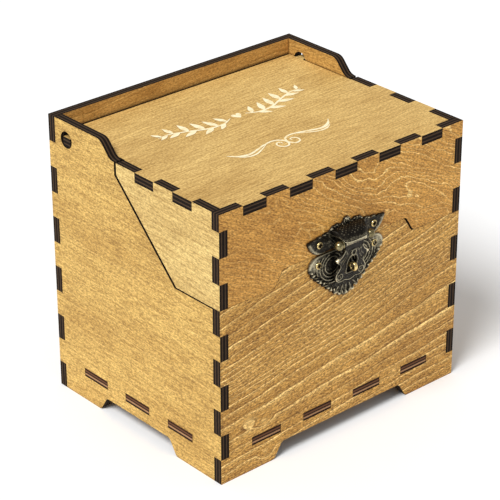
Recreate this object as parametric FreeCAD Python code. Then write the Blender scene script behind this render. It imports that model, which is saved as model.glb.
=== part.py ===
import FreeCAD, Part
import math
import os
from FreeCAD import Vector

# Card box of laser-cut plywood with a lid that turns on tabs of its own sheet, and a bronze hasp latch.
# Millimetres. X runs across the front, Y from front to back, Z up from the surface under the feet.

# Case
box_width = 190.0
box_depth = 152.0
lid_height = 172.5
side_rise = 10.0
seam_height = 113.4
wall = 6.0
floor_thickness = 5.0
floor_height = 17.0

# Finger joints: numbers of equal fingers along an edge, and the play on each face of a finger
joint_gap = 0.1
front_fingers = 7
back_fingers = 11
lid_front_fingers = 11
wing_front_fingers = 3
wing_top_fingers = 5
corner_tab = 10.5

# Tabs of the bottom panel, which end flush with the outside of the walls, and their play in the slots
floor_tab = 21.7
slot_gap = 0.35
front_tab_count = 4
front_tab_pitch = 40.2
side_tab_count = 3
side_tab_pitch = 39.6

# Feet left by an arch in each wall, and the tongue of the front panel, with the same ogee ends
arch_height = 10.0
front_arch_half = 48.0
side_arch_half = 29.5
tongue_rise = 10.0
tongue_half = 48.0
ogee_angle = 58.0
ogee_radius = 3.0

# Seam along the front: the lid sits to the right, so most of its notch's play is at the tongue's right end
seam_gap = 0.15
notch_gap = 0.2
notch_play = 1.5

# Seam between case and lid along the side, and the shoulder of the side above it
wing_depth = 89.0
wing_rear_drop = 7.2
seam_angle = 45.0
wing_seam_gap = 1.0
swing_gap = 1.9
shoulder_angle = 48.0
shoulder_radius = 7.0
shoulder_land = 0.6

# Pivot tabs of the lid in the round holes of the sides
pivot_inset = 10.7
pivot_hole = 10.5
pivot_gap = 0.08
pivot_drop = 1.3
pivot_tab = 6.4
pivot_recess = 0.4
lid_side_gap = 0.6
lid_rear_gap = 0.35

# Latch plates: heights are from the top of the tongue, where the two plates meet
plate_wall = 1.2
plate_gap = 0.3

# Crown outline of the hasp plate: half widths, drops below the finial's top, and rounded corners
crown_height = 17.8
crown_half = 30.8
crown_foot_half = 24.6
crown_foot_round = 5.0
crown_ear_drop = 7.6
crown_ear_round = 0.8
crown_step_half = 15.1
crown_step_drop = 5.2
crown_step_round = 2.0
crown_brow_half = 10.5
crown_brow_drop = 2.3
crown_brow_round = 3.0
finial_neck_half = 3.4
finial_neck_drop = 1.9
finial_neck_round = 0.6
finial_half = 2.5
finial_round = 1.6

# Heart outline of the catch plate
heart_height = 33.0
heart_half = 29.7
heart_ear_drop = 9.8
heart_ear_round = 6.5
heart_side_round = 4.0
heart_tip_half = 8.3
heart_tip_round = 7.0

# Hasp hinge: the pin stands off the front of the box
pin_height = 5.4
pin_standoff = 7.8
pin_radius = 1.1
pin_gap = 0.08
pin_head_radius = 2.8
pin_head_offset = 2.45
barrel_radius = 2.1
barrel_half = 8.0
barrel_end_gap = 0.2
cheek_wall = 1.5
hood_wall = 1.0
hood_gap = 0.5
hood_lip = 1.5
hood_top = 15.2
hood_brow = 1.6
hood_knee = 3.9
hood_round = 2.0

# Hasp flap, measured from the pin down the flap
hasp_wall = 1.4
hasp_length = 27.6
hasp_tilt = 9.5
hasp_foot_half = 9.1
hasp_foot_round = 4.0
hasp_lobe_half = 12.0
hasp_lobe_drop = 21.4
hasp_lobe_round = 3.0
hasp_waist_half = 9.4
hasp_waist_drop = 16.2
hasp_waist_round = 2.0
hasp_wing_half = 13.0
hasp_wing_drop = 11.0
hasp_wing_round = 1.2
hasp_neck_half = 7.0
hasp_neck_drop = 5.5
hasp_neck_round = 2.5

# Arched window of the hasp, also measured from the pin
window_half = 3.5
window_top = 11.0
window_bottom = 21.4
window_arch_round = 3.2
window_foot_round = 1.0

# Eye of the catch
eye_depth = 11.9
eye_standoff = 7.3
eye_radius = 2.9
eye_hole_radius = 1.2
eye_width = 2.2
eye_shank_radius = 1.2
eye_shank_gap = 0.05

# Screws of the two plates
screw_offset = 6.4
hasp_screw_half = 21.4
catch_screw_half = 22.1
screw_head_radius = 2.2
screw_head_height = 1.5
screw_head_round = 0.9
screw_recess_width = 0.7
screw_recess_length = 2.6
screw_recess_depth = 0.7
screw_radius = 1.1
screw_gap = 0.05
screw_tip = 1.6
screw_cover = 0.8

# Derived places
latch_reach = pin_standoff + barrel_radius + hood_gap + hood_wall
front = (latch_reach - box_depth) / 2
back = front + box_depth
middle = (front + back) / 2
half_width = box_width / 2
inner_half = half_width - wall
side_height = lid_height + side_rise
lid_bottom = seam_height + seam_gap
side_seam = lid_bottom - wing_seam_gap
lid_under = lid_height - wall
tongue_top = seam_height + tongue_rise
wing_rear = front + wing_depth
wing_corner = lid_height - wing_rear_drop
pivot_y = back - wall - pivot_inset
pivot_z = lid_height - pivot_drop
pin_y = front - pin_standoff
pin_z = tongue_top + pin_height
eye_y = front - eye_standoff
eye_z = tongue_top - eye_depth
plate_front = front - plate_wall
cheek_inner = barrel_half + barrel_end_gap
cheek_outer = cheek_inner + cheek_wall


def block(x0, x1, y0, y1, z0, z1):
    """Box between two corners."""
    return Part.makeBox(x1 - x0, y1 - y0, z1 - z0, Vector(x0, y0, z0))


def rod(radius, x0, x1, y, z):
    """Cylinder along X."""
    return Part.makeCylinder(radius, x1 - x0, Vector(x0, y, z), Vector(1, 0, 0))


def peg(radius, x, z, y0, y1):
    """Cylinder along Y."""
    return Part.makeCylinder(radius, y1 - y0, Vector(x, y0, z), Vector(0, 1, 0))


def joined(shapes):
    """One solid from shapes that touch or overlap."""
    return shapes[0].multiFuse(shapes[1:]).removeSplitter()


def rounded_face(points, place):
    """Face inside straight runs; a third number at a corner is the radius that rounds it."""
    corners = []
    for i, point in enumerate(points):
        here = Vector(point[0], point[1], 0)
        if len(point) == 2:
            corners.append([here])
            continue
        last = Vector(*points[i - 1][:2], 0)
        following = Vector(*points[(i + 1) % len(points)][:2], 0)
        towards_last = (last - here).normalize()
        towards_next = (following - here).normalize()
        half_angle = towards_last.getAngle(towards_next) / 2
        tangent = point[2] / math.tan(half_angle)
        bisector = (towards_last + towards_next).normalize()
        crown = here + bisector * (point[2] / math.sin(half_angle) - point[2])
        corners.append([here + towards_last * tangent, crown, here + towards_next * tangent])
    edges = []
    for i, corner in enumerate(corners):
        if len(corner) == 3:
            edges.append(Part.Arc(*[place(p.x, p.y) for p in corner]).toShape())
        start = place(corner[-1].x, corner[-1].y)
        following = corners[(i + 1) % len(corners)][0]
        edges.append(Part.LineSegment(start, place(following.x, following.y)).toShape())
    return Part.Face(Part.Wire(edges))


def front_sheet(points, y, thickness):
    """Sheet with an outline in X and Z, standing from y towards the back."""
    face = rounded_face(points, lambda u, v: Vector(u, y, v))
    return face.extrude(Vector(0, thickness, 0))


def side_sheet(points, x, thickness):
    """Sheet with an outline in Y and Z, standing from x towards +X."""
    face = rounded_face(points, lambda u, v: Vector(x, u, v))
    return face.extrude(Vector(thickness, 0, 0))


def both_halves(points):
    """Closed outline from its right half, which is listed anticlockwise."""
    return points + [(-p[0], *p[1:]) for p in reversed(points)]


def mirrored(shape):
    """The left-hand twin of a right-hand shape."""
    return shape.mirror(Vector(0, 0, 0), Vector(1, 0, 0))


def on_both_sides(shape):
    """A shape and its twin across the middle of the box."""
    return [shape, mirrored(shape)]


def fingers(low, high, count):
    """Equal stretches of an edge."""
    step = (high - low) / count
    return [(low + i * step, low + (i + 1) * step) for i in range(count)]


def tab_centres(count, pitch, centre):
    """Centres of evenly spaced tabs."""
    return [centre + (i - (count - 1) / 2) * pitch for i in range(count)]


def ogee_run(rise):
    """Width of an ogee of the given height between its two corners."""
    return rise / math.tan(math.radians(ogee_angle))


def arch(half, centre):
    """Corners of the arch that leaves a foot at each end of a wall's lower edge."""
    foot = half + ogee_run(arch_height)
    return [
        (centre - foot, 0, ogee_radius),
        (centre - half, arch_height, ogee_radius),
        (centre + half, arch_height, ogee_radius),
        (centre + foot, 0, ogee_radius),
    ]


def tongue(low, left_gap, right_gap):
    """Corners of the tongue, or of the notch that clears it, from right to left."""
    left = -tongue_half - left_gap
    right = tongue_half + right_gap
    run = ogee_run(tongue_rise)
    return [
        (right + run, low, ogee_radius),
        (right, low + tongue_rise, ogee_radius),
        (left, low + tongue_rise, ogee_radius),
        (left - run, low, ogee_radius),
    ]


# Fingers of the joints; the sheet that owns a finger cuts nothing there
front_edge = fingers(0, seam_height, front_fingers)
back_edge = fingers(0, side_height, back_fingers)
lid_front_edge = fingers(-half_width, half_width, lid_front_fingers)
corner_bottom = lid_height - corner_tab
wing_front_edge = fingers(seam_height, corner_bottom, wing_front_fingers) + [(corner_bottom, lid_height)]
wing_top_edge = fingers(front + wall, wing_rear, wing_top_fingers)
front_tabs = tab_centres(front_tab_count, front_tab_pitch, 0)
side_tabs = tab_centres(side_tab_count, side_tab_pitch, middle)


def edge_notches(stretches, y0, y1):
    """Cuts at the two upright edges of a front or back sheet, for fingers of the sides."""
    cuts = []
    for low, high in stretches:
        cuts += on_both_sides(block(inner_half - joint_gap, half_width, y0, y1, low, high))
    return cuts


def side_notches(stretches, y0, y1):
    """Cuts at an upright edge of a right-hand side sheet, with play for fingers of a front or back."""
    cuts = []
    for low, high in stretches:
        cuts.append(block(inner_half, half_width, y0, y1, low - joint_gap, high + joint_gap))
    return cuts


def front_floor_slots(y):
    """Slots through a front or back sheet for the tabs of the bottom."""
    reach = floor_tab / 2 + slot_gap
    top = floor_height + floor_thickness + slot_gap
    return [block(x - reach, x + reach, y, y + wall, floor_height - slot_gap, top) for x in front_tabs]


def side_floor_slots():
    """Slots through the right-hand side for the tabs of the bottom."""
    reach = floor_tab / 2 + slot_gap
    top = floor_height + floor_thickness + slot_gap
    cuts = []
    for y in side_tabs:
        cuts.append(block(inner_half, half_width, y - reach, y + reach, floor_height - slot_gap, top))
    return cuts


def screw_pilots(half, z):
    """Blind holes in the front for two plate screws."""
    bore = peg(screw_radius + screw_gap, half, z, front, front + wall - screw_cover / 2)
    return on_both_sides(bore)


def make_front_panel():
    outline = [(-half_width, 0)] + arch(front_arch_half, 0) + [(half_width, 0), (half_width, seam_height)]
    outline += tongue(seam_height, 0, 0) + [(-half_width, seam_height)]
    cuts = edge_notches(front_edge[1::2], front, front + wall) + front_floor_slots(front)
    cuts += screw_pilots(catch_screw_half, tongue_top - screw_offset)
    return front_sheet(outline, front, wall).cut(cuts)


def make_back_panel():
    outline = [(-half_width, 0)] + arch(front_arch_half, 0)
    outline += [(half_width, 0), (half_width, side_height), (-half_width, side_height)]
    cuts = edge_notches(back_edge[1::2], back - wall, back) + front_floor_slots(back - wall)
    return front_sheet(outline, back - wall, wall).cut(cuts)


def make_right_side():
    slope = math.radians(seam_angle)
    edge_y = wing_rear + swing_gap
    slant_top = wing_corner - swing_gap * (1 - math.sin(slope)) / math.cos(slope)
    slant_foot = edge_y - (slant_top - side_seam) / math.tan(slope)
    shoulder_turn = math.radians(shoulder_angle)
    shoulder_foot = edge_y + shoulder_land + shoulder_radius * math.tan(shoulder_turn / 2)
    shoulder_head = shoulder_foot + side_rise / math.tan(shoulder_turn)
    outline = [(front, 0)] + arch(side_arch_half, middle) + [
        (back, 0),
        (back, side_height),
        (shoulder_head, side_height, shoulder_radius),
        (shoulder_foot, lid_height, shoulder_radius),
        (edge_y, lid_height),
        (edge_y, slant_top),
        (slant_foot, side_seam),
        (front, side_seam),
    ]
    cuts = side_notches(front_edge[0::2], front, front + wall + joint_gap)
    cuts += side_notches(back_edge[0::2], back - wall - joint_gap, back)
    cuts += side_floor_slots()
    cuts.append(rod(pivot_hole / 2, inner_half, half_width, pivot_y, pivot_z))
    return side_sheet(outline, inner_half, wall).cut(cuts)


def make_bottom_panel():
    top = floor_height + floor_thickness
    inset = wall + joint_gap
    edge = half_width - inset
    pieces = [block(-edge, edge, front + inset, back - inset, floor_height, top)]
    for x in front_tabs:
        pieces.append(block(x - floor_tab / 2, x + floor_tab / 2, front, back, floor_height, top))
    for y in side_tabs:
        pieces.append(block(-half_width, half_width, y - floor_tab / 2, y + floor_tab / 2, floor_height, top))
    return joined(pieces)


def make_lid_top():
    edge = inner_half - joint_gap
    rear_edge = inner_half - lid_side_gap
    rear = pivot_y + math.sqrt((pivot_inset - lid_rear_gap) ** 2 - pivot_drop**2)
    pieces = [
        block(-edge, edge, front + wall + joint_gap, wing_rear, lid_under, lid_height),
        block(-rear_edge, rear_edge, middle, rear, lid_under, lid_height),
    ]
    for low, high in lid_front_edge[1::2]:
        pieces.append(block(low + joint_gap, high - joint_gap, front, middle, lid_under, lid_height))
    for low, high in wing_top_edge[1::2]:
        y0 = low + joint_gap
        y1 = high - joint_gap
        pieces.append(block(-half_width, half_width, y0, y1, lid_under, lid_height))
    tab_reach = half_width - pivot_recess
    half_tab = pivot_tab / 2
    tabs = block(-tab_reach, tab_reach, pivot_y - half_tab, pivot_y + half_tab, lid_under, lid_height)
    journal = rod(pivot_hole / 2 - pivot_gap, -tab_reach, tab_reach, pivot_y, pivot_z)
    pieces.append(tabs.common(journal))
    return joined(pieces)


def make_lid_front():
    outline = [(half_width, lid_bottom), (half_width, lid_height), (-half_width, lid_height)]
    outline += [(-half_width, lid_bottom)] + tongue(lid_bottom, notch_gap, notch_play)[::-1]
    cuts = edge_notches(wing_front_edge[0::2], front, front + wall)
    for low, high in lid_front_edge[1::2]:
        cuts.append(block(low, high, front, front + wall, lid_under - joint_gap, lid_height))
    cuts += screw_pilots(hasp_screw_half, tongue_top + screw_offset)
    return front_sheet(outline, front, wall).cut(cuts)


def make_right_wing():
    slant_foot = wing_rear - (wing_corner - lid_bottom) / math.tan(math.radians(seam_angle))
    outline = [
        (front, lid_bottom),
        (slant_foot, lid_bottom),
        (wing_rear, wing_corner),
        (wing_rear, lid_height),
        (front, lid_height),
    ]
    cuts = side_notches(wing_front_edge[1::2], front, front + wall + joint_gap)
    for low, high in wing_top_edge[1::2]:
        cuts.append(block(inner_half, half_width, low, high, lid_under - joint_gap, lid_height))
    return side_sheet(outline, inner_half, wall).cut(cuts)


def screw_holes(half, z):
    """Holes in a latch plate for its two screws."""
    return on_both_sides(peg(screw_radius + screw_gap, half, z, plate_front, front))


def make_hasp_plate():
    low = tongue_top + plate_gap
    high = tongue_top + crown_height
    crown = both_halves([
        (crown_foot_half, low, crown_foot_round),
        (crown_half, high - crown_ear_drop, crown_ear_round),
        (crown_step_half, high - crown_step_drop, crown_step_round),
        (crown_brow_half, high - crown_brow_drop, crown_brow_round),
        (finial_neck_half, high - finial_neck_drop, finial_neck_round),
        (finial_half, high, finial_round),
    ])
    plate = front_sheet(crown, plate_front, plate_wall)
    tip = front - latch_reach
    lip = pin_z + hood_lip
    brow = lip + hood_brow
    top = tongue_top + hood_top
    knee = front - hood_knee
    hood_outline = [
        (plate_front, top),
        (knee, top, hood_round + hood_wall),
        (tip, brow + hood_wall / 2, hood_round),
        (tip, lip),
        (tip + hood_wall, lip),
        (tip + hood_wall, brow, hood_round - hood_wall),
        (knee, top - hood_wall, hood_round),
        (plate_front, top - hood_wall),
    ]
    hood = side_sheet(hood_outline, -cheek_outer, 2 * cheek_outer)
    ear = pin_radius + hood_wall
    cheek_outline = [
        (plate_front, pin_z - ear),
        (pin_y - ear, pin_z - ear, ear),
        (pin_y - ear, brow + hood_wall / 2, ear),
        (knee, top - hood_wall / 2, hood_round),
        (plate_front, top - hood_wall / 2),
    ]
    cheeks = on_both_sides(side_sheet(cheek_outline, cheek_inner, cheek_wall))
    bore = rod(pin_radius + pin_gap, -cheek_outer, cheek_outer, pin_y, pin_z)
    holes = screw_holes(hasp_screw_half, tongue_top + screw_offset)
    return joined([plate, hood] + cheeks).cut([bore] + holes)


def make_hasp_pin():
    head_centre = Vector(cheek_outer + barrel_end_gap / 2 + pin_head_offset, pin_y, pin_z)
    head = Part.makeSphere(pin_head_radius, head_centre)
    seat = cheek_outer + barrel_end_gap / 2
    inside = rod(pin_head_radius + pin_gap, 0, seat, pin_y, pin_z)
    heads = on_both_sides(head.cut(inside))
    shank = rod(pin_radius, -head_centre.x, head_centre.x, pin_y, pin_z)
    return joined([shank] + heads)


def make_hasp():
    """Flap modelled hanging straight down from the pin, then tilted back towards the catch."""
    flap_outline = both_halves([
        (hasp_foot_half, pin_z - hasp_length, hasp_foot_round),
        (hasp_lobe_half, pin_z - hasp_lobe_drop, hasp_lobe_round),
        (hasp_waist_half, pin_z - hasp_waist_drop, hasp_waist_round),
        (hasp_wing_half, pin_z - hasp_wing_drop, hasp_wing_round),
        (hasp_neck_half, pin_z - hasp_neck_drop, hasp_neck_round),
        (barrel_half, pin_z),
    ])
    flap = front_sheet(flap_outline, pin_y - hasp_wall / 2, hasp_wall)
    barrel = rod(barrel_radius, -barrel_half, barrel_half, pin_y, pin_z)
    window_outline = both_halves([
        (window_half, pin_z - window_bottom, window_foot_round),
        (window_half, pin_z - window_top, window_arch_round),
    ])
    window = front_sheet(window_outline, pin_y - hasp_wall, 2 * hasp_wall)
    bore = rod(pin_radius + pin_gap, -barrel_half, barrel_half, pin_y, pin_z)
    hasp = joined([flap, barrel]).cut([window, bore])
    hasp.rotate(Vector(0, pin_y, pin_z), Vector(1, 0, 0), hasp_tilt)
    return hasp


def make_catch_plate():
    top = tongue_top - plate_gap
    heart = both_halves([
        (heart_tip_half, tongue_top - heart_height, heart_tip_round),
        (heart_half, top - heart_ear_drop, heart_side_round),
        (heart_half, top, heart_ear_round),
    ])
    shank_hole = peg(eye_shank_radius + eye_shank_gap, 0, eye_z, plate_front, front)
    holes = screw_holes(catch_screw_half, tongue_top - screw_offset)
    return front_sheet(heart, plate_front, plate_wall).cut([shank_hole] + holes)


def make_catch_staple():
    ring = rod(eye_radius, -eye_width / 2, eye_width / 2, eye_y, eye_z)
    shank = peg(eye_shank_radius, 0, eye_z, eye_y, front)
    eye = rod(eye_hole_radius, -eye_width, eye_width, eye_y, eye_z)
    return joined([ring, shank]).cut(eye)


def plate_screw(x, z):
    """Pan-head screw through a latch plate, with a cross recess."""
    seat = plate_front
    head = peg(screw_head_radius, x, z, seat - screw_head_height, seat)
    rim = [e for e in head.Edges if abs(e.CenterOfMass.y - (seat - screw_head_height)) < screw_gap]
    head = head.makeFillet(screw_head_round, rim)
    tip_end = front + wall - screw_cover
    shank = peg(screw_radius, x, z, seat, tip_end - screw_tip)
    tip_start = Vector(x, tip_end - screw_tip, z)
    tip = Part.makeCone(screw_radius, screw_radius / 4, screw_tip, tip_start, Vector(0, 1, 0))
    face = seat - screw_head_height
    arm = screw_recess_length / 2
    slot = screw_recess_width / 2
    floor = face + screw_recess_depth
    cross = [
        block(x - arm, x + arm, face, floor, z - slot, z + slot),
        block(x - slot, x + slot, face, floor, z - arm, z + arm),
    ]
    return joined([head, shank, tip]).cut(cross)


def screw_pair(half, z):
    """Two like screws as separate solids of one node."""
    return Part.makeCompound([plate_screw(-half, z), plate_screw(half, z)])


right_side = make_right_side()
right_wing = make_right_wing()
nodes = {
    "left_side": mirrored(right_side),
    "right_side": right_side,
    "back_panel": make_back_panel(),
    "front_panel": make_front_panel(),
    "bottom_panel": make_bottom_panel(),
    "lid_top": make_lid_top(),
    "lid_front": make_lid_front(),
    "lid_left_wing": mirrored(right_wing),
    "lid_right_wing": right_wing,
    "hasp_plate": make_hasp_plate(),
    "hasp_pin": make_hasp_pin(),
    "hasp": make_hasp(),
    "catch_plate": make_catch_plate(),
    "catch_staple": make_catch_staple(),
    "hasp_plate_screws": screw_pair(hasp_screw_half, tongue_top + screw_offset),
    "catch_plate_screws": screw_pair(catch_screw_half, tongue_top - screw_offset),
}

os.makedirs("parts", exist_ok=True)
for name, shape in nodes.items():
    shape.exportStep("parts/" + name + ".step")
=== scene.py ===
import math

import bpy
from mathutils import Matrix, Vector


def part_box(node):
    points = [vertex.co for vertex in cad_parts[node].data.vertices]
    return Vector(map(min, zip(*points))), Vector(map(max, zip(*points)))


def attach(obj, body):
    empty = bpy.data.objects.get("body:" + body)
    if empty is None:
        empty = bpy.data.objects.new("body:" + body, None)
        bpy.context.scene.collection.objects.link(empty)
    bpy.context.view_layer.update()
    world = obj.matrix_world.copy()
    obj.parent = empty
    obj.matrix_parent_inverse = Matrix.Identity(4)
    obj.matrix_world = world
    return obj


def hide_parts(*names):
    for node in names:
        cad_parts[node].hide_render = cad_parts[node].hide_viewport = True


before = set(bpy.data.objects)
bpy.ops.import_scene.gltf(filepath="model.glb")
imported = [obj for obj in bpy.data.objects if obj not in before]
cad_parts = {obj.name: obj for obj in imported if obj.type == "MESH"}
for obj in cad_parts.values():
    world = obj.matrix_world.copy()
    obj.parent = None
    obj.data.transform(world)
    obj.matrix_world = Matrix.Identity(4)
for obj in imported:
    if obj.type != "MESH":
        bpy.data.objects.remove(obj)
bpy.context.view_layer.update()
bpy.ops.object.select_all(action="DESELECT")

# The bottom is a 5 mm sheet of stained birch plywood. Its tabs come through the slots of all four walls,
# so only their burnt ends show from outside, and glue holds them.
mm = 0.001


def linear(red, green, blue):
    """A colour written in 0 to 255 screen values, as the shader takes it."""
    shares = [value / 255 for value in (red, green, blue)]
    return tuple(s / 12.92 if s <= 0.04045 else ((s + 0.055) / 1.055) ** 2.4 for s in shares)


def node(tree, kind, inputs=None, **settings):
    """A shader node with its settings, each input set to a value or joined to another node."""
    made = tree.nodes.new("ShaderNode" + kind)
    for name, value in settings.items():
        setattr(made, name, value)
    for key, value in (inputs or {}).items():
        if isinstance(value, bpy.types.Node):
            value = value.outputs[0]
        if isinstance(value, bpy.types.NodeSocket):
            tree.links.new(value, made.inputs[key])
        else:
            made.inputs[key].default_value = value
    return made


def ramp(tree, share, stops):
    """Colours along a share from 0 to 1, given as (position, colour) pairs."""
    made = node(tree, "ValToRGB", {"Fac": share})
    elements = made.color_ramp.elements
    for element, (position, colour) in zip(elements, (stops[0], stops[-1])):
        element.position = position
        element.color = (*colour, 1)
    for position, colour in stops[1:-1]:
        elements.new(position).color = (*colour, 1)
    return made.outputs["Color"]


def mix(tree, share, first, second, blend="MIX"):
    """Two colours blended by a share."""
    made = node(tree, "Mix", {0: share}, data_type="RGBA", blend_type=blend)
    for socket, colour in ((made.inputs[6], first), (made.inputs[7], second)):
        if isinstance(colour, bpy.types.NodeSocket):
            tree.links.new(colour, socket)
        else:
            socket.default_value = (*colour, 1)
    return made.outputs[2]


def calculate(tree, operation, *values):
    """One step of arithmetic in a shader."""
    return node(tree, "Math", dict(enumerate(values)), operation=operation).outputs[0]


def remap(tree, value, start, stop, first=0.0, last=1.0, **settings):
    """A value whose run from start to stop is stretched to run from first to last."""
    inputs = {0: value, 1: start, 2: stop, 3: first, 4: last}
    return node(tree, "MapRange", inputs, **settings).outputs[0]


def noise(tree, place, stretch, size, detail=2.0, roughness=0.5):
    """Cloudy noise whose features are about size across, stretched along the grain."""
    drawn_out = node(tree, "VectorMath", {0: place, 1: (1 / stretch, 1, 1)}, operation="MULTIPLY")
    inputs = {"Vector": drawn_out, "Scale": 1 / size, "Detail": detail, "Roughness": roughness}
    return node(tree, "TexNoise", inputs).outputs[0]


growth_line = linear(255, 215, 134)
# The next colour is the burnt brown of the cut edges, and it also colours a painted shade line along a gap.
char_and_gap_shade = linear(22, 13, 6)
scorched_ply = linear(84, 64, 45)
off_the_sheet = (-1001, -1000)
wall_plies = [(0, char_and_gap_shade), (0.2, char_and_gap_shade), (0.3, scorched_ply), (0.4, char_and_gap_shade), (0.6, char_and_gap_shade), (0.7, scorched_ply),
              (0.8, char_and_gap_shade), (1, char_and_gap_shade)]


def plywood(panel, axes, stain, slope, lines, wander, wobble, glow, shift, coarse=0.4, line_width=0.9,
            band=1.0, crinkle=7.0, spread=(), fan=0, knots=(), fade=off_the_sheet, gap_shade=off_the_sheet,
            plies=wall_plies):
    """Stained veneer with growth lines on the faces of a sheet, and burnt plies on its cut edges.

    The axes run along the grain, across it and through the sheet, and lengths are in millimetres.
    The lines rise at the slope in degrees, are as many as given over the sheet's width, wander by so much
    and wobble within a crinkle's length. They glow by the share given, with a soft band beside each of them.
    They spread unevenly if a spread says so, fan out to the right and fade in along the grain.
    A knot has its place along and across, its half length and half height, how far it lifts the lines and
    how pale it is. The pores are as coarse as given, from 0 to 1, and a shift picks another piece of veneer.
    The dark line given from one place across the grain to another is painted shade, for the gap beside the
    sheet lying in shadow. Faces are also darker near inner corners and beside other parts, which is painted
    shade.
    """
    along, across, through = ("xyz".index(letter) for letter in axes)
    low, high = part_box(panel)
    material = bpy.data.materials.new(panel + "_plywood")
    material.use_nodes = True
    tree = material.node_tree
    shader = tree.nodes["Principled BSDF"]

    where = node(tree, "TexCoord")
    place = node(tree, "SeparateXYZ", {0: where.outputs["Object"]})
    facing = node(tree, "SeparateXYZ", {0: where.outputs["Normal"]})
    sheet_axes = {0: place.outputs[along], 1: place.outputs[across], 2: place.outputs[through]}
    sheet = node(tree, "CombineXYZ", sheet_axes)
    turn = {0: sheet, "Scale": (1 / mm, 1 / mm, 1 / mm), "Rotation": (0, 0, -math.radians(slope))}
    flat = node(tree, "Mapping", turn)
    seeded = node(tree, "VectorMath", {0: flat, 1: shift}, operation="ADD")

    drift = noise(tree, seeded, stretch=2.2, size=34.0)
    ripple = noise(tree, seeded, stretch=1.8, size=crinkle, detail=3.0)
    far, height = node(tree, "SeparateXYZ", {0: flat}).outputs[0:2]
    fanned = calculate(tree, "MULTIPLY", calculate(tree, "MULTIPLY", far, height), fan)
    height = calculate(tree, "SUBTRACT", height, fanned)
    height = calculate(tree, "ADD", height, calculate(tree, "MULTIPLY_ADD", drift, wander, -wander / 2))
    height = calculate(tree, "ADD", height, calculate(tree, "MULTIPLY_ADD", ripple, wobble, -wobble / 2))
    swirl = 0.0
    for knot_along, knot_across, length, tall, lift, paleness in knots:
        middle = (knot_along * mm, knot_across * mm, 0)
        to_round = (1 / length / mm, 1 / tall / mm, 0)
        offset = node(tree, "VectorMath", {0: sheet, 1: middle}, operation="SUBTRACT")
        offset = node(tree, "VectorMath", {0: offset, 1: to_round}, operation="MULTIPLY")
        reach = node(tree, "VectorMath", {0: offset}, operation="LENGTH").outputs["Value"]
        near = remap(tree, reach, 0.0, 1.0, 1.0, 0.0, interpolation_type="SMOOTHERSTEP")
        height = calculate(tree, "MULTIPLY_ADD", near, lift, height)
        swirl = calculate(tree, "MULTIPLY_ADD", calculate(tree, "POWER", near, 3.0), paleness, swirl)
    share = remap(tree, height, low[across] / mm, high[across] / mm, clamp=False)
    spacing = node(tree, "FloatCurve", {"Value": share})
    points = spacing.mapping.curves[0].points
    for position, value in spread:
        points.new(position, value)
    spacing.mapping.extend = "EXTRAPOLATED"
    spacing.mapping.update()
    level = calculate(tree, "MULTIPLY", spacing, lines)
    tooth = calculate(tree, "FRACT", level)
    ring = calculate(tree, "FLOOR", level)
    strength = node(tree, "TexWhiteNoise", {"W": ring}, noise_dimensions="1D").outputs[0]
    strength = remap(tree, strength, 0.0, 1.0, 0.35, 1.0)
    width = line_width * lines * mm / (high[across] - low[across])
    none, full = (0, 0, 0), (1, 1, 1)
    soft = (0.3 * band,) * 3
    faint = (0.4 * band,) * 3
    line = ramp(tree, tooth, [(0, none), (1 - 3 * width, none), (1 - width, soft), (1 - width * 0.7, full),
                              (1 - width * 0.1, full), (1, soft)])
    hair = calculate(tree, "FRACT", calculate(tree, "MULTIPLY_ADD", level, 3.3, drift))
    hair = ramp(tree, hair, [(0, none), (0.7, none), (0.95, faint), (1, none)])
    line = calculate(tree, "MAXIMUM", line, hair)
    patch = remap(tree, noise(tree, seeded, stretch=2.5, size=22.0), 0.36, 0.58, 0.4, 1.0)
    begin = remap(tree, place.outputs[along], fade[0] * mm, fade[1] * mm)
    line = calculate(tree, "MULTIPLY", line, strength)
    line = calculate(tree, "MULTIPLY", line, calculate(tree, "MULTIPLY", patch, glow))
    line = calculate(tree, "MULTIPLY", line, begin)

    cloud = noise(tree, seeded, stretch=2.0, size=26.0, detail=3.0)
    fibre = noise(tree, seeded, stretch=14.0, size=1.1, detail=3.0)
    speck = noise(tree, seeded, stretch=2.2, size=0.75, detail=1.0, roughness=0.6)
    tone = ramp(tree, cloud, [(0.3, (0.86, 0.82, 0.76)), (0.5, full), (0.7, (1.07, 1.1, 1.14))])
    tone = mix(tree, 1.0, tone, stain, "MULTIPLY")
    late = ramp(tree, tooth, [(0, (0.45, 0.38, 0.3)), (0.06, (0.76, 0.71, 0.64)), (0.18, (0.95, 0.94, 0.92)),
                              (0.4, full)])
    tone = mix(tree, min(2 * glow, 1) * band, tone, late, "MULTIPLY")
    tone = mix(tree, line, tone, growth_line)
    grain = ramp(tree, fibre, [(0.3, (0.68, 0.62, 0.55)), (0.53, full), (0.75, (1.19, 1.22, 1.26))])
    tone = mix(tree, 0.85, tone, grain, "MULTIPLY")
    pores = ramp(tree, speck, [(0.25, (0.3, 0.23, 0.16)), (0.5, full), (0.75, (1.65, 1.74, 1.9))])
    tone = mix(tree, coarse, tone, pores, "MULTIPLY")
    if knots:
        tone = mix(tree, swirl, tone, growth_line)

    # The dark band across the grain is painted shade, for the shadow in a gap beside the sheet.
    start, stop = (value * mm for value in gap_shade)
    gap_shade_line = calculate(tree, "COMPARE", place.outputs[across], (start + stop) / 2, (stop - start) / 2)
    tone = mix(tree, gap_shade_line, tone, char_and_gap_shade)
    # Faces darken within 1.6 mm of inner corners and of other parts: painted shade, taken from how much
    # nearby faces close them in.
    nook = node(tree, "AmbientOcclusion", {"Distance": 1.6 * mm}, samples=4).outputs["AO"]
    painted_corner_shade = ramp(tree, nook, [(0.5, (0.4, 0.28, 0.18)), (0.85, full)])
    tone = mix(tree, 1.0, tone, painted_corner_shade, "MULTIPLY")

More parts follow.
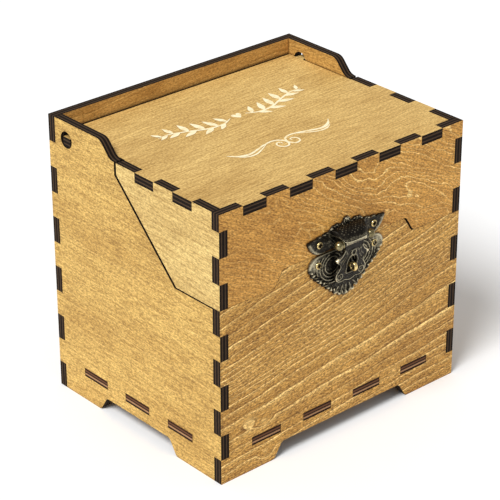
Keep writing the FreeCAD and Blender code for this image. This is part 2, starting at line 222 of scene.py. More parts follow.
    depth = remap(tree, place.outputs[through], low[through], high[through])
    rough_cut = {"Vector": where.outputs["Object"], "Scale": 900.0, "Detail": 3.0}
    ragged = node(tree, "TexNoise", rough_cut).outputs[0]
    depth = calculate(tree, "ADD", depth, calculate(tree, "MULTIPLY_ADD", ragged, 0.1, -0.05))
    end_grain = ramp(tree, depth, plies)
    burnt = calculate(tree, "LESS_THAN", calculate(tree, "ABSOLUTE", facing.outputs[through]), 0.6)
    tree.links.new(mix(tree, burnt, tone, end_grain), shader.inputs["Base Color"])
    gloss = remap(tree, fibre, 0.3, 0.7, 0.62, 0.48)
    tree.links.new(calculate(tree, "MAXIMUM", gloss, burnt), shader.inputs["Roughness"])
    shader.inputs["Specular IOR Level"].default_value = 0.25
    texture = calculate(tree, "MULTIPLY_ADD", line, 0.4, calculate(tree, "ADD", fibre, speck))
    bump = node(tree, "Bump", {"Strength": 0.35, "Distance": 0.12 * mm, "Height": texture})
    tree.links.new(bump.outputs[0], shader.inputs["Normal"])

    sheet_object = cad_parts[panel]
    sheet_object.data.materials.clear()
    sheet_object.data.materials.append(material)


tab_char = linear(40, 22, 14)
tab_ply = linear(190, 145, 105)
tab_core = linear(118, 78, 52)
floor_plies = [(0, tab_char), (0.14, tab_char), (0.3, tab_ply), (0.46, tab_char), (0.54, tab_char),
               (0.7, tab_core), (0.86, tab_char), (1, tab_char)]
plywood("bottom_panel", "xyz", stain=linear(204, 159, 90), slope=2, lines=9, wander=12, wobble=2, glow=0.3,
        shift=(40, 10, 5), band=0.5, plies=floor_plies)

# The back is the tallest wall, a 6 mm sheet with fingers at both sides and two feet.
# It is glued to the sides by those fingers and rises above the lid as a low rail.
plywood("back_panel", "xzy", stain=linear(206, 160, 89), slope=4, lines=14, wander=16, wobble=3, glow=0.5,
        shift=(310, 40, 0), coarse=0.6, band=0.5)

# The two sides are 6 mm sheets of the same plywood, glued finger to finger with the back and the front.
# Each has two feet, a round pivot hole near the back and an ogee shoulder, and its upper front corner
# is cut away where a wing of the lid goes.
plywood("left_side", "yzx", stain=linear(202, 163, 88), slope=1, lines=12, wander=9, wobble=2, glow=0.22,
        shift=(120, 33, 0), coarse=0.68, band=0.3)
plywood("right_side", "yzx", stain=linear(204, 161, 89), slope=-3, lines=13, wander=14, wobble=3, glow=0.45,
        shift=(520, 71, 0), coarse=0.6, band=0.5)

# The front is a 6 mm sheet, glued to the sides by its fingers. It ends at the seam with the lid, except for
# the low tongue behind the latch. Its veneer shows the strongest growth lines, which lie close together
# at mid-height and curl round a few knots.
front_knots = [(-74, 34, 13, 7, -7, 0.4), (-62, 29, 10, 6, 5, 0.25), (43, 21, 8, 5, 4, 0.1),
               (-60, 5, 12, 8, 5, 0.1)]
front_spread = [(0.243, 0.235), (0.46, 0.353), (0.52, 0.41), (0.71, 0.765), (0.82, 0.88)]
plywood("front_panel", "xzy", stain=linear(191, 142, 66), slope=4, lines=22, wander=9, wobble=2, glow=1.3,
        shift=(75, 12, 0), coarse=1.0, spread=front_spread, fan=0.0016, knots=front_knots)

# The lid's top is a 6 mm sheet whose front and side edges carry fingers.
# At the back two flat tabs with rounded corners turn in the holes of the sides, which makes the hinge.
lid_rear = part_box("lid_top")[1].y / mm
# A dark line along the lid top's rear edge is painted shade, for the shadow in the gap between the lid and
# the back.
plywood("lid_top", "xyz", stain=linear(212, 174, 104), slope=1, lines=9, wander=22, wobble=3, glow=0.5,
        shift=(15, 260, 0), coarse=0.55, band=0.15, gap_shade=(lid_rear - 1.3, lid_rear + 1))

# The lid's front is a 6 mm sheet glued by its fingers to the top and the wings, notched over the tongue.
# Its veneer is smooth at the left and has wavy lines that fall to the right.
plywood("lid_front", "xzy", stain=linear(200, 146, 67), slope=-26, lines=15, wander=50, wobble=4.5, glow=1.2,
        shift=(236, 64, 0), coarse=0.75, line_width=0.6, band=0.25, crinkle=5.0, fade=(-110, 20))

# The wings are five-sided pieces of the same sheet, glued by their fingers to both ends of the lid.
# They fill the corners cut from the sides, so the seam runs on a slant.
plywood("lid_left_wing", "yzx", stain=linear(213, 181, 112), slope=2, lines=8, wander=12, wobble=2, glow=0.2,
        shift=(700, 15, 0), coarse=0.55, band=0.25)
plywood("lid_right_wing", "yzx", stain=linear(205, 163, 92), slope=-2, lines=8, wander=12, wobble=2, glow=0.4,
        shift=(840, 55, 0), coarse=0.55, band=0.5)

# The lid carries a cream print: a heart between two leafy sprigs, and a scroll flourish in front of them.
# It is a film of paint a tenth of a millimetre thick on the stained veneer.
def spline(points, steps, closed):
    """A smooth line through points of any number of values, with so many steps from each to the next."""
    count = len(points)
    line = []
    for index in range(count if closed else count - 1):
        if closed:
            around = [points[(index + offset) % count] for offset in (-1, 0, 1, 2)]
        else:
            around = [points[min(max(index + offset, 0), count - 1)] for offset in (-1, 0, 1, 2)]
        for step in range(steps):
            t = step / steps
            weights = (-t / 2 + t * t - t ** 3 / 2, 1 - 2.5 * t * t + 1.5 * t ** 3,
                       t / 2 + 2 * t * t - 1.5 * t ** 3, -t * t / 2 + t ** 3 / 2)
            line.append(tuple(sum(w * value for w, value in zip(weights, values)) for values in zip(*around)))
    if not closed:
        line.append(tuple(points[-1]))
    return line


def formed(name, columns, rows, shape, close=(), wall=0):
    """A grid pressed over a shape, which gives a place in millimetres and how worn it is there.

    Seams that meet are welded. Edges left open are closed by the operators named, or by giving the sheet
    a wall.
    """
    bpy.ops.mesh.primitive_grid_add(x_subdivisions=columns, y_subdivisions=rows, size=1)
    piece = bpy.context.object
    piece.name = name
    piece.data.attributes.new("wear", "FLOAT", "POINT")
    wear = piece.data.attributes["wear"].data
    for index, vertex in enumerate(piece.data.vertices):
        place, worn = shape(vertex.co.x + 0.5, vertex.co.y + 0.5)
        vertex.co = [value * mm for value in place]
        wear[index].value = worn
    bpy.ops.object.mode_set(mode="EDIT")
    bpy.ops.mesh.select_mode(type="EDGE")
    bpy.ops.mesh.select_all(action="SELECT")
    bpy.ops.mesh.remove_doubles(threshold=0.002 * mm)
    for operator, settings in close:
        bpy.ops.mesh.select_all(action="DESELECT")
        bpy.ops.mesh.select_non_manifold()
        operator(**settings)
    bpy.ops.mesh.select_all(action="SELECT")
    bpy.ops.mesh.normals_make_consistent(inside=False)
    bpy.ops.object.mode_set(mode="OBJECT")
    if wall:
        piece.modifiers.new("wall", "SOLIDIFY").thickness = wall * mm
        bpy.ops.object.modifier_apply(modifier="wall")
    bpy.ops.object.shade_smooth_by_angle(angle=math.radians(45))
    return piece


def one_piece(pieces, name):
    """Several meshes joined into the first of them."""
    bpy.ops.object.select_all(action="DESELECT")
    for piece in pieces:
        piece.select_set(True)
    bpy.context.view_layer.objects.active = pieces[0]
    if len(pieces) > 1:
        bpy.ops.object.join()
    pieces[0].name = name
    return pieces[0]


print_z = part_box("lid_top")[1].z / mm
print_y = (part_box("front_panel")[0].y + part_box("back_panel")[1].y) / 2 / mm
film = 0.1
film_wall = film * 0.9
overlap = 0.004
print_pieces = []


def stroke(points, steps=8):
    """A brush stroke on the lid through points of place across, place back from the middle, and width."""
    line = spline(points, steps, False)
    level = print_z + film + overlap * len(print_pieces)

    def shape(u, v):
        index = round(u * (len(line) - 1))
        x, y, width = line[index]
        before = line[max(index - 1, 0)]
        after = line[min(index + 1, len(line) - 1)]
        run = math.hypot(after[0] - before[0], after[1] - before[1])
        side = (v - 0.5) * max(width, 0.15)
        edge_x = x - side * (after[1] - before[1]) / run
        edge_y = print_y + y + side * (after[0] - before[0]) / run
        return (edge_x, edge_y, level), 0

    print_pieces.append(formed("stroke", len(line) - 1, 2, shape, wall=film_wall))


def leaf(x, y, angle, length, width):
    """A pointed leaf that leaves a stem at an angle in degrees."""
    reach = (math.cos(math.radians(angle)) * length, math.sin(math.radians(angle)) * length)
    shares = ((0, 0.12), (0.2, 0.72), (0.45, 1.0), (0.75, 0.6), (1, 0.02))
    stroke([(x + reach[0] * s, y + reach[1] * s, width * w) for s, w in shares], 4)


heart_half = [(0, 1.2), (0.7, 2.4), (2.1, 2.8), (3.2, 1.9), (3.0, 0.2), (1.7, -1.6), (0, -3.2)]
heart_loop = spline(heart_half + [(-x, y) for x, y in heart_half[-2:0:-1]], 6, True)
heart_y = 17.5


def heart_shape(u, v):
    """A flat heart, from its middle to its outline."""
    x, y = heart_loop[round(u * len(heart_loop)) % len(heart_loop)]
    return (x * v, print_y + heart_y + y * v, print_z + film), 0


print_pieces.append(formed("heart", len(heart_loop), 3, heart_shape, wall=film_wall))
stem = [(6, 17.0, 0.5), (14, 13.4, 1.3), (25, 14.2, 1.4), (37, 19.4, 1.3), (48, 23.2, 1.0), (56, 22.8, 0.3)]
leaves = [(10, 15.0, 66, 9.5, 3.4), (13, 13.7, -38, 9.0, 3.2), (18, 13.2, 72, 12.0, 4.0),
          (22, 13.6, -26, 10.5, 3.6), (27, 14.9, 82, 12.5, 4.1), (32, 17.1, -16, 11.0, 3.7),
          (36, 19.0, 90, 11.5, 3.9), (41, 21.1, -14, 10.0, 3.4), (45, 22.4, 84, 9.5, 3.3),
          (49, 23.2, -26, 8.0, 2.8), (53, 23.3, 58, 7.0, 2.5)]
scroll = [(3.9, -29.6, 0.6), (3.7, -27.9, 0.8), (6.0, -27.3, 1.0), (7.9, -29.8, 1.1), (6.8, -33.0, 1.1),
          (3.4, -34.2, 1.1), (0.9, -32.0, 1.2), (0.4, -28.6, 1.2), (2.4, -25.2, 1.3), (7.0, -23.5, 1.3),
          (13, -24.3, 1.3), (19, -26.2, 1.4), (25.5, -28.1, 1.7), (31, -28.2, 2.2), (36, -25.6, 1.6),
          (39.8, -21.4, 0.2)]
under_scroll = [(11.5, -24.4, 0.3), (18, -28.0, 0.9), (24.5, -30.8, 1.2), (30.5, -30.6, 1.1),
                (35.5, -27.8, 0.3)]
scroll_x = -2.8
for side in (1, -1):
    for line in (scroll, under_scroll):
        stroke([(scroll_x + side * x, y, width) for x, y, width in line])
    stroke([(side * x, y, width) for x, y, width in stem])
    for x, y, angle, length, width in leaves:
        leaf(side * x, y, angle if side > 0 else 180 - angle, length, width)
lid_print = one_piece(print_pieces, "lid_print")
cream = bpy.data.materials.new("cream_print")
cream.use_nodes = True
cream_tree = cream.node_tree
cream_shader = cream_tree.nodes["Principled BSDF"]
cream_where = node(cream_tree, "TexCoord").outputs["Object"]
cream_place = node(cream_tree, "VectorMath", {0: cream_where, 1: (1 / mm,) * 3}, operation="MULTIPLY")
cream_cloud = noise(cream_tree, cream_place, stretch=3.0, size=1.4, detail=3.0)
cream_tone = ramp(cream_tree, cream_cloud, [(0.25, linear(236, 206, 146)), (0.5, linear(255, 240, 198)),
                                            (0.8, linear(255, 246, 214))])
cream_tree.links.new(cream_tone, cream_shader.inputs["Base Color"])
cream_shader.inputs["Roughness"].default_value = 0.7
lid_print.data.materials.append(cream)
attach(lid_print, "lid")

# The catch plate is a heart of stamped brass, blackened and rubbed bright on its ridges.
# Its lower edges are scalloped like lace, rings run round each lobe, and two screws hold it to the front.
def antique(name, dark, worn, dark_gloss, worn_gloss):
    """Blackened brass: dark in the hollows, rubbed bright where a mesh says it is worn."""
    material = bpy.data.materials.new(name)
    material.use_nodes = True
    tree = material.node_tree
    shader = tree.nodes["Principled BSDF"]
    where = node(tree, "TexCoord").outputs["Object"]
    patina = node(tree, "TexNoise", {"Vector": where, "Scale": 320.0, "Detail": 4.0}).outputs[0]
    grit = node(tree, "TexNoise", {"Vector": where, "Scale": 1500.0, "Detail": 2.0}).outputs[0]
    rubbed = node(tree, "Attribute", attribute_name="wear").outputs["Fac"]
    rubbed = calculate(tree, "ADD", rubbed, calculate(tree, "MULTIPLY_ADD", patina, 0.4, -0.2))
    rubbed = calculate(tree, "ADD", rubbed, calculate(tree, "MULTIPLY_ADD", grit, 0.7, -0.35))
    rubbed = remap(tree, rubbed, 0.1, 0.85)
    hollow = ramp(tree, patina, [(0.3, tuple(value * 0.6 for value in dark)), (0.7, dark)])
    tree.links.new(mix(tree, rubbed, hollow, worn), shader.inputs["Base Color"])
    gloss = remap(tree, rubbed, 0.0, 1.0, dark_gloss, worn_gloss)
    tree.links.new(gloss, shader.inputs["Roughness"])
    shader.inputs["Metallic"].default_value = 0.9
    bump = node(tree, "Bump", {"Strength": 0.25, "Distance": 0.1 * mm, "Height": grit})
    tree.links.new(bump.outputs[0], shader.inputs["Normal"])
    return material


bronze = antique("blackened_bronze", dark=linear(40, 36, 30), worn=linear(232, 220, 184), dark_gloss=0.42,
                 worn_gloss=0.24)
front_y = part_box("front_panel")[0].y / mm
tongue_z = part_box("front_panel")[1].z / mm


def bell(value, middle, width):
    """A smooth hump of height 1."""
    return math.exp(-((value - middle) / width) ** 2)


def between(value, low, high):
    """A smooth step from 0 at low to 1 at high."""
    t = min(max((value - low) / (high - low), 0), 1)
    return t * t * (3 - 2 * t)


def mirrored_loop(half, steps):
    """A closed smooth outline from its right half, which runs from the top middle to the bottom middle."""
    return spline(half + [(-x, z) for x, z in half[-2:0:-1]], steps, True)


def run_lengths(loop):
    """How far along a closed line each of its points lies."""
    lengths = [0]
    for before, after in zip(loop, loop[1:]):
        lengths.append(lengths[-1] + math.dist(before, after))
    return lengths


def stamped_plate(name, loop, middle, rings, relief):
    """A plate pressed to a relief over the wood, with its outline and the point that its rings close on."""
    lengths = run_lengths(loop)
    half = lengths[len(loop) // 2]

    def shape(u, v):
        index = round(u * len(loop)) % len(loop)
        x, z = (m + (edge - m) * v for m, edge in zip(middle, loop[index]))
        along = min(lengths[index], 2 * half - lengths[index])
        height, worn = relief(x, z, v, along)
        return (x, front_y - height, tongue_z + z), worn

    flatten = {"value": (1, 0, 1), "center_override": (0, front_y * mm, 0)}
    return formed(name, len(loop), rings, shape,
                  [(bpy.ops.mesh.extrude_region_move, {}), (bpy.ops.transform.resize, flatten),
                   (bpy.ops.mesh.edge_face_add, {})])


plate_wall = 1.2
lace_pitch = 4.1
lace_depth = 2.0
catch_middle_z = -13
lobe_x, lobe_z = 11.5, -9.4
ring_pitch = 2.1
fan_z = -19.0
fan_ribs = 17
catch_half = [(0, -0.5), (10, -0.6), (19, -0.5), (25.5, -1.5), (28.9, -4.8), (29.3, -8.8), (27.2, -13.0),
              (21.6, -18.4), (15.6, -23.8), (10, -28.6), (5, -31.6), (0, -32.7)]
catch_smooth = mirrored_loop(catch_half, 16)
catch_run = run_lengths(catch_smooth)
catch_loop = []
for index, (x, z) in enumerate(catch_smooth):
    along = min(catch_run[index], 2 * catch_run[len(catch_smooth) // 2] - catch_run[index])
    notch = lace_depth * (1 - abs(math.sin(math.pi * along / lace_pitch))) ** 1.5 * between(-z, 7.0, 10.0)
    reach = math.hypot(x, z - catch_middle_z)
    catch_loop.append((x - x / reach * notch, z - (z - catch_middle_z) / reach * notch))


def catch_relief(x, z, v, along):
    """Rings round each lobe, a fan of ribs below the middle, and a beaded lace edge."""
    side = abs(x)
    lobe = math.hypot(side - lobe_x, z - lobe_z)
    rings = math.cos(2 * math.pi * (lobe - 1.0) / ring_pitch)
    rings *= between(lobe, 2.0, 4.0) * between(13.8, lobe, lobe + 1.5)
    rings *= between(side, 1.5, 4.0) * between(0.9, v, v + 0.06)
    fan_reach = math.hypot(x, z - fan_z)
    fan = math.cos(fan_ribs * math.atan2(x, fan_z - z))
    fan *= between(fan_reach, 5.0, 7.0) * between(-z, 23.0, 26.0)
    lace = abs(math.sin(math.pi * along / lace_pitch)) * between(-z, 7.0, 10.0)
    bead = lace * bell(v, 0.94, 0.045)
    groove = bell(v, 0.86, 0.025) * between(-z, 5.0, 8.0)
    ear = bell(side, 24.5, 3.4) * bell(z, -5.4, 4.0)
    rim = bell(v, 0.97, 0.03) * between(z, -9.0, -6.0)
    height = plate_wall + 0.35 * rings + 0.25 * fan * (1 - abs(rings)) + 0.9 * bead - 0.35 * groove
    height += 0.25 * ear + 0.3 * rim - 0.25 * between(v, 0.96, 1.0)
    worn = 0.08 + 0.6 * max(rings, 0) ** 8 + 0.4 * max(fan, 0) ** 6 + bead ** 3 + 0.35 * ear + 0.4 * rim
    return height, worn


catch_plate = stamped_plate("catch_plate_stamped", catch_loop, middle=(0, catch_middle_z), rings=76,
                            relief=catch_relief)
catch_plate.data.materials.append(bronze)
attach(catch_plate, "case")
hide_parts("catch_plate")

# The staple is a cast brass eye on a short collared shank, riveted through the catch plate.
# It stands out through the window of the hasp, and a small padlock can go through it.
brass = antique("bright_brass", dark=linear(62, 46, 24), worn=linear(238, 212, 146), dark_gloss=0.36,
                worn_gloss=0.22)
staple_low, staple_high = (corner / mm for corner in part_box("catch_staple"))
eye_width = staple_high.x - staple_low.x
eye_radius = 2.9
eye_hole = 1.2
eye_y = staple_low.y + eye_radius
eye_z = (staple_low.z + staple_high.z) / 2
eye_ring = (eye_radius + eye_hole) / 2
eye_tube = (eye_radius - eye_hole) / 2


def eye_shape(u, v):
    """A ring that stands upright, worn brightest round the outside."""
    round_ring = 2 * math.pi * u
    round_tube = 2 * math.pi * v
    reach = eye_ring + eye_tube * math.cos(round_tube)
    place = (eye_width / 2 * math.sin(round_tube), eye_y + reach * math.cos(round_ring),
             eye_z + reach * math.sin(round_ring))
    return place, 0.55 + 0.45 * math.cos(round_tube)


def turned(name, profile, centre, axis, steps=32):
    """A piece turned on a lathe from points of place along the axis, radius and wear."""
    def shape(u, v):
        along, radius, worn = profile[round(v * (len(profile) - 1))]
        angle = 2 * math.pi * u
        first, second = radius * math.cos(angle), radius * math.sin(angle)
        offset = (along, first, second) if axis == "x" else (first, along, second)
        return tuple(c + o for c, o in zip(centre, offset)), worn

    return formed(name, steps, len(profile) - 1, shape)


shank_base = front_y - eye_y
shank_profile = [(eye_ring, 0, 0.2), (eye_ring, 1.3, 0.4), (shank_base - 2.2, 1.2, 0.2),
                 (shank_base - 2.0, 2.0, 0.6), (shank_base - 1.3, 2.1, 0.7), (shank_base - 1.0, 1.5, 0.2),
                 (shank_base, 1.5, 0.0), (shank_base, 0, 0)]
eye = formed("eye", 40, 20, eye_shape)
shank = turned("shank", shank_profile, (0, eye_y, eye_z), "y")
staple = one_piece([eye, shank], "staple_eye")
staple.data.materials.append(brass)
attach(staple, "case")
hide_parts("catch_staple")

# Two small pan-head screws with a cross recess hold the catch plate.
# They are brass, darkened round the head and in the cross.
head_radius = 2.2
head_rise = 1.2
cross_reach = 1.5
cross_width = 0.75
cross_depth = 0.9


def screw(name, x, z):
    """A pan-head screw seated on a plate, with its cross cut by two blades."""
    seat = -plate_wall + 0.2
    rim = [(head_radius, 0.0, 0.0), (head_radius, 0.4, 0.2), (head_radius * 0.97, 0.75, 0.9),
           (head_radius * 0.88, 1.0, 1.0), (head_radius * 0.78, 1.1, 0.6), (head_radius * 0.62, 1.14, 0.2),
           (0.0, head_rise, 0.1)]
    profile = [(seat, 0, 0)] + [(seat - rise, radius, worn) for radius, rise, worn in rim]
    head = turned(name, profile, (x, front_y, z), "y")
    for width, height in ((cross_reach, cross_width / 2), (cross_width / 2, cross_reach)):
        bpy.ops.mesh.primitive_cube_add(size=2, location=(x * mm, (front_y + seat - head_rise) * mm, z * mm))
        blade = bpy.context.object
        bpy.ops.transform.resize(value=(width * mm, cross_depth * mm, height * mm))
        bpy.ops.object.transform_apply(location=True, rotation=True, scale=True)
        bpy.ops.object.select_all(action="DESELECT")
        head.select_set(True)
        bpy.context.view_layer.objects.active = head
        cut = head.modifiers.new("cross", "BOOLEAN")
        cut.object = blade
        cut.solver = "EXACT"
        bpy.ops.object.modifier_apply(modifier="cross")
        bpy.data.objects.remove(blade)
    return head


catch_screw_low, catch_screw_high = (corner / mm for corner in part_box("catch_plate_screws"))
catch_screw_x = catch_screw_high.x - head_radius
catch_screw_z = (catch_screw_low.z + catch_screw_high.z) / 2
catch_pair = [screw("screw", side * catch_screw_x, catch_screw_z) for side in (-1, 1)]
catch_screws = one_piece(catch_pair, "catch_screws_brass")
catch_screws.data.materials.append(brass)
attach(catch_screws, "case")
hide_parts("catch_plate_screws")

# The hasp plate is a crown stamped from the same blackened brass, with a beaded top, pointed ears and
# a small finial. Its middle is drawn out into a pebbled hood over the pin, with a cheek at each end,
# and two screws hold it to the lid.
pin_low, pin_high = (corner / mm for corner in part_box("hasp_pin"))
pin_y = (pin_low.y + pin_high.y) / 2
pin_z = (pin_low.z + pin_high.z) / 2
crown_half = [(0, 17.7), (1.7, 17.2), (2.5, 15.8), (3.1, 14.9), (5.5, 15.0), (8.6, 15.5), (10.8, 14.9),
              (12.4, 13.4), (15.2, 12.5), (19.0, 11.9), (23.5, 11.2), (27.5, 10.4), (30.4, 9.9),
              (29.8, 7.4), (27.6, 3.9), (24.2, 1.2), (20, 0.5), (15, 0.6), (8, 0.5), (0, 0.4)]
crown_smooth = mirrored_loop(crown_half, 12)
crown_run = run_lengths(crown_smooth)
bead_pitch = 2.3
lobe_pitch = 5.4
lobe_depth = 0.9
crown_loop = []
for index, (x, z) in enumerate(crown_smooth):
    along = min(crown_run[index], 2 * crown_run[len(crown_smooth) // 2] - crown_run[index])
    lobe = lobe_depth * (1 - abs(math.sin(math.pi * along / lobe_pitch))) ** 1.5
    lobe *= between(z, 10.0, 11.0) * between(along, 4.0, 6.0)
    crown_loop.append((x * (1 - lobe / 40), z - lobe))


def pebbles(x, z):
    """Rows of small round knobs."""
    return max(math.sin(2.6 * x + 0.5 * math.sin(1.7 * z)) * math.sin(2.9 * z + 0.6 * math.sin(1.3 * x)), 0)


def crown_relief(x, z, v, along):
    """Beads along the top, a rim round the ears, a brow at each end of the hood, and pebbles between."""
    side = abs(x)
    edge = bell(v, 0.95, 0.045)
    bead = abs(math.sin(math.pi * along / bead_pitch)) * edge * between(z, 9.0, 11.0)
    rim = edge * between(10.0, z, z + 2.0) * between(side, 14.0, 18.0)
    finial = bell(x, 0, 1.8) * bell(z, 16.2, 1.4)
    brow = bell(side, 13.5, 1.2) * between(z, 3.0, 7.0) * between(0.93, v, v + 0.05)
    knobs = pebbles(x, z) * between(15.0, side, side + 3.0) * between(0.9, v, v + 0.05)
    height = plate_wall + 0.45 * bead + 0.35 * rim + 0.9 * finial + 0.5 * brow + 0.35 * knobs
    height -= 0.3 * between(v, 0.97, 1.0)
    worn = 0.06 + 0.9 * bead ** 3 + 0.4 * rim ** 2 + 0.35 * finial + 0.15 * brow + 0.45 * knobs ** 3
    return height, worn


crown = stamped_plate("crown", crown_loop, middle=(0, 7.5), rings=40, relief=crown_relief)
hood_wall = 0.9
hood_profile = spline([(1.0, 13.9, 13.2), (2.6, 13.7, 13.0), (5.2, 12.9, 12.6), (7.8, 11.4, 12.2),
                       (9.8, 9.5, 11.9), (10.9, 8.0, 11.7), (11.3, 6.8, 11.6)], 6, False)


def hood_shape(u, v):
    """An arched hood from the wood out to its lip, by height off the wood, place up and half width."""
    height, z, half = hood_profile[round(v * (len(hood_profile) - 1))]
    across = 2 * u - 1
    arch = math.sqrt(1 - across ** 4)
    x = across * half
    z += 2.2 * between(abs(across), 0.72, 0.92) * v - 2.4 * across ** 4 * (1 - v)
    knobs = pebbles(x, 15 * v) * between(0.66, v, v + 0.12) * between(v, 0.03, 0.12) * arch
    lip = between(v, 0.92, 0.98) * between(0.95, abs(across), abs(across) + 0.08)
    worn = 0.5 * knobs ** 3 + 0.22 * bell(v, 0.82, 0.1) + lip
    y = front_y - hood_wall - (height - hood_wall) * arch - 0.25 * knobs
    return (x, y, tongue_z + z + 0.15 * knobs), worn


hood = formed("hood", 64, len(hood_profile) - 1, hood_shape, wall=hood_wall)

pin_end_length = 5.2
cheek_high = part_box("hasp_pin")[1].x / mm - pin_end_length
cheek_wall = 1.5
cheek_root = front_y - plate_wall + 0.2
cheek_edge = [(cheek_root, tongue_z + 11.2), (front_y - 3.0, tongue_z + 10.8),
              (front_y - 6.0, tongue_z + 9.2), (front_y - 8.2, tongue_z + 7.6), (pin_y - 1.9, pin_z + 0.9),
              (pin_y - 2.1, pin_z), (pin_y - 1.5, pin_z - 1.5), (pin_y, pin_z - 2.1),
              (pin_y + 1.5, pin_z - 1.5), (front_y - 4.4, pin_z - 0.6), (cheek_root, pin_z + 0.4)]


def cheek(side):
    """A flat ear under one end of the hood, which carries the pin."""
    middle_y = sum(y for y, z in cheek_edge) / len(cheek_edge)
    middle_z = sum(z for y, z in cheek_edge) / len(cheek_edge)

    def shape(u, v):
        y, z = cheek_edge[round(u * len(cheek_edge)) % len(cheek_edge)]
        step = round(v * 5)
        spread = 0 if step in (0, 5) else 1
        x = side * (cheek_high - (cheek_wall if step > 2 else 0))
        return (x, middle_y + (y - middle_y) * spread, middle_z + (z - middle_z) * spread), 0.35 * (step == 1)

    return formed("cheek", len(cheek_edge), 5, shape)


hasp_plate = one_piece([crown, hood, cheek(1), cheek(-1)], "hasp_plate_stamped")
hasp_plate.data.materials.append(bronze)
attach(hasp_plate, "lid")
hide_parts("hasp_plate")

# Two more of the same brass screws hold the hasp plate.
# They go through its ears into the lid's front.
hasp_screw_low, hasp_screw_high = (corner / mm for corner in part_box("hasp_plate_screws"))
hasp_screw_x = hasp_screw_high.x - head_radius
hasp_screw_z = (hasp_screw_low.z + hasp_screw_high.z) / 2
hasp_pair = [screw("screw", side * hasp_screw_x, hasp_screw_z) for side in (-1, 1)]
hasp_screws = one_piece(hasp_pair, "hasp_screws_brass")
hasp_screws.data.materials.append(brass)
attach(hasp_screws, "lid")
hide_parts("hasp_plate_screws")

# The hasp is a cast flap of the same blackened brass, with an arched window for the staple, a ring above it,
# pointed wings and two scrolled lobes. It hangs from its barrel on the pin and leans on the catch plate.
hasp_lean = math.radians(9.5)
hasp_wall = 1.4
flap_steps = 240
eyelet_z = -7.9
curl_x, curl_z = 8.4, -22.6
wing_x, wing_z = 12.2, -11.0
flap_half = [(0, 1.0), (3.5, 1.0), (6.3, 0.5), (7.1, -2.5), (7.4, -5.2), (8.7, -7.6), (11.0, -9.6),
             (12.7, -11.0), (11.4, -12.6), (9.6, -14.2), (9.2, -16.2), (10.4, -18.2), (11.8, -20.6),
             (11.8, -23.4), (10.1, -25.8), (7.6, -26.6), (4.8, -26.2), (2.2, -26.9), (0, -27.5)]
window_half = [(0, -11.0), (1.9, -11.4), (3.1, -12.9), (3.5, -15.0), (3.5, -18.0), (3.4, -20.4),
               (2.6, -21.3), (0, -21.4)]


def evenly(loop, count):
    """The same closed line with its points spaced evenly."""
    lengths = run_lengths(loop + loop[:1])
    spaced = []
    index = 0
    for step in range(count):
        target = lengths[-1] * step / count
        while lengths[index + 1] < target:
            index += 1
        share = (target - lengths[index]) / (lengths[index + 1] - lengths[index])
        after = loop[(index + 1) % len(loop)]
        spaced.append(tuple(a + (b - a) * share for a, b in zip(loop[index], after)))
    return spaced


flap_loop = evenly(mirrored_loop(flap_half, 10), flap_steps)
window_loop = evenly(mirrored_loop(window_half, 10), flap_steps)


def leaned(x, out, down):
    """A place on the hasp from its distance out of the flap's middle and above the pin."""
    return (x, pin_y - out * math.cos(hasp_lean) - down * math.sin(hasp_lean),
            pin_z - out * math.sin(hasp_lean) + down * math.cos(hasp_lean))


def hasp_shape(u, v):
    """The flap's face from its window to its outline, with ridges along both, curls, veins and feathering."""
    index = round(u * flap_steps) % flap_steps
    x, z = (a + (b - a) * v for a, b in zip(window_loop[index], flap_loop[index]))
    side = abs(x)
    frame_ridge = bell(v, 0.09, 0.06) * between(-z, 7.0, 10.0)
    rim = bell(v, 0.94, 0.06) * between(-z, 3.0, 6.0)
    eyelet = bell(math.hypot(x, z - eyelet_z), 1.8, 0.4)
    curl = bell(math.hypot(side - curl_x, z - curl_z), 2.0, 0.5)
    inner_curl = bell(math.hypot(side - curl_x, z - curl_z), 0.0, 0.7)
    wing = bell(math.hypot(side - wing_x, z - wing_z), 0.0, 1.5)
    vein = bell(side - 4.6 - 0.16 * (z + 8) ** 2 * (z > -8), 0.8, 0.6)
    vein *= between(-z, 2.0, 4.0) * between(9.0, -z, -z + 2.0)
    boss = max(eyelet, curl, inner_curl, wing)
    feather = max(math.cos(2 * math.pi * 5 * v), 0) ** 3 * between(v, 0.2, 0.35) * between(0.8, v, v + 0.1)
    feather *= between(-z, 3.0, 6.0) * (1 - boss)
    height = hasp_wall / 2 + 0.5 * frame_ridge + 0.3 * rim + 0.6 * eyelet + 0.5 * curl + 0.6 * inner_curl
    height += 0.3 * vein + 0.18 * feather - 0.3 * between(v, 0.97, 1.0)
    # The bright rim and wing tips are partly rubbed wear and partly a painted highlight.
    worn = 0.35 * frame_ridge ** 2 + 0.65 * rim ** 3 + 0.6 * eyelet ** 2 + 0.45 * curl ** 3 + 0.3 * inner_curl
    worn += 0.7 * wing + 0.25 * vein ** 2 + 0.3 * feather ** 2
    return leaned(x, height, z), worn


def flatten_back():
    """The edge just drawn out of the flap, moved to the plane of its back."""
    pin_middle = (0, pin_y * mm, pin_z * mm)
    bpy.ops.mesh.extrude_region_move()
    bpy.ops.transform.rotate(value=hasp_lean, orient_axis="X", center_override=pin_middle)
    bpy.ops.transform.resize(value=(1, 0, 1), center_override=(0, (pin_y + hasp_wall / 2) * mm, 0))
    bpy.ops.transform.rotate(value=-hasp_lean, orient_axis="X", center_override=pin_middle)
    bpy.ops.mesh.bridge_edge_loops()


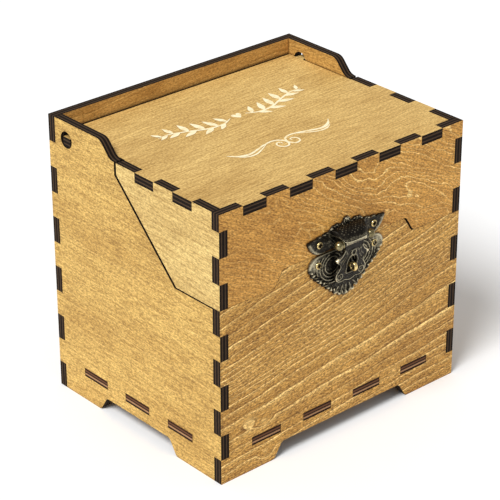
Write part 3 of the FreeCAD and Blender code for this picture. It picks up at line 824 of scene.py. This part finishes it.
flap = formed("flap", flap_steps, 46, hasp_shape, [(flatten_back, {})])
barrel_radius = 1.9
barrel_half = cheek_high - cheek_wall - 0.2
barrel_waist = barrel_radius - 0.05
barrel_end = [(-barrel_half, 0, 0), (-barrel_half, barrel_radius, 0.4),
              (1.2 - barrel_half, barrel_radius, 0.6), (1.5 - barrel_half, barrel_radius - 0.25, 0.1),
              (1.8 - barrel_half, barrel_waist, 0.4)]
far_barrel_end = [(-x, radius, worn) for x, radius, worn in barrel_end[::-1]]
barrel_profile = barrel_end + [(0, barrel_waist, 0.2)] + far_barrel_end
barrel = turned("barrel", barrel_profile, (0, pin_y, pin_z), "x")
hasp = one_piece([flap, barrel], "hasp_cast")
hasp.data.materials.append(bronze)
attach(hasp, "hasp")
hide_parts("hasp")

# The pin is turned brass with the same plating, rubbed brighter, and runs through the cheeks and the barrel.
# It ends in a ball outside each cheek, with a collar between them.
ball_radius = (pin_high.z - pin_low.z) / 2
ball_middle = pin_high.x - ball_radius * 0.95
ball_steps = 14
pin_end = [(pin_high.x, 0, 0.45)]
for step in range(1, ball_steps):
    angle = math.pi * step / ball_steps * 0.86
    reach = ball_middle + (pin_high.x - ball_middle) * math.cos(angle)
    pin_end.append((reach, ball_radius * math.sin(angle), 0.45 - 0.3 * step / ball_steps))
collar_radius = 2.3
pin_end += [(cheek_high + 0.45, 1.9, 0.1), (cheek_high + 0.35, collar_radius, 0.7),
            (cheek_high + 0.02, collar_radius, 0.4), (cheek_high + 0.02, 1.1, 0)]
pin_profile = pin_end + [(-x, radius, worn) for x, radius, worn in pin_end[::-1]]
pin = turned("hasp_pin_turned", pin_profile, (0, pin_y, pin_z), "x")
pin_metal = antique("pin_brass", dark=linear(78, 68, 42), worn=linear(222, 208, 156), dark_gloss=0.3,
                    worn_gloss=0.18)
pin.data.materials.append(pin_metal)
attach(pin, "lid")
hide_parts("hasp_pin")

# The studio is a plain white floor under soft light from the left, with the camera at the photograph's angle.
# Nothing here belongs to the box.
bpy.ops.mesh.primitive_plane_add(size=12)
floor = bpy.context.object
floor.name = "studio_floor"
paper = bpy.data.materials.new("studio_paper")
paper.use_nodes = True
paper_tree = paper.node_tree
paper_shader = paper_tree.nodes["Principled BSDF"]
paper_where = node(paper_tree, "TexCoord")
paper_cloud = node(paper_tree, "TexNoise", {"Vector": paper_where.outputs["Object"], "Scale": 3.0})
paper_tone = ramp(paper_tree, paper_cloud, [(0, linear(250, 250, 250)), (1, linear(254, 254, 254))])
paper_tree.links.new(paper_tone, paper_shader.inputs["Base Color"])
paper_shader.inputs["Roughness"].default_value = 0.9
floor.data.materials.append(paper)

world = bpy.data.worlds.new("studio")
bpy.context.scene.world = world
world.use_nodes = True
sky = world.node_tree.nodes["Background"]
sky.inputs["Color"].default_value = (1, 1, 1, 1)
sky.inputs["Strength"].default_value = 0.45

bpy.ops.object.light_add(type="SUN", location=(-0.6, -0.3, 0.8))
key = bpy.context.object
key.name = "key_light"
key.data.energy = 2.7
key.data.angle = math.radians(25)
key.rotation_euler = (math.radians(9), math.radians(-37), 0)

bpy.ops.object.camera_add(location=(-0.761761, -0.850886, 0.681368))
camera = bpy.context.object
camera.rotation_euler = (math.radians(62.7035), math.radians(0.1237), math.radians(-41.4998))
camera.data.lens = 153.726
camera.data.sensor_width = 36
camera.data.clip_start = 0.01
bpy.context.scene.camera = camera

bpy.context.scene.view_settings.view_transform = "Standard"
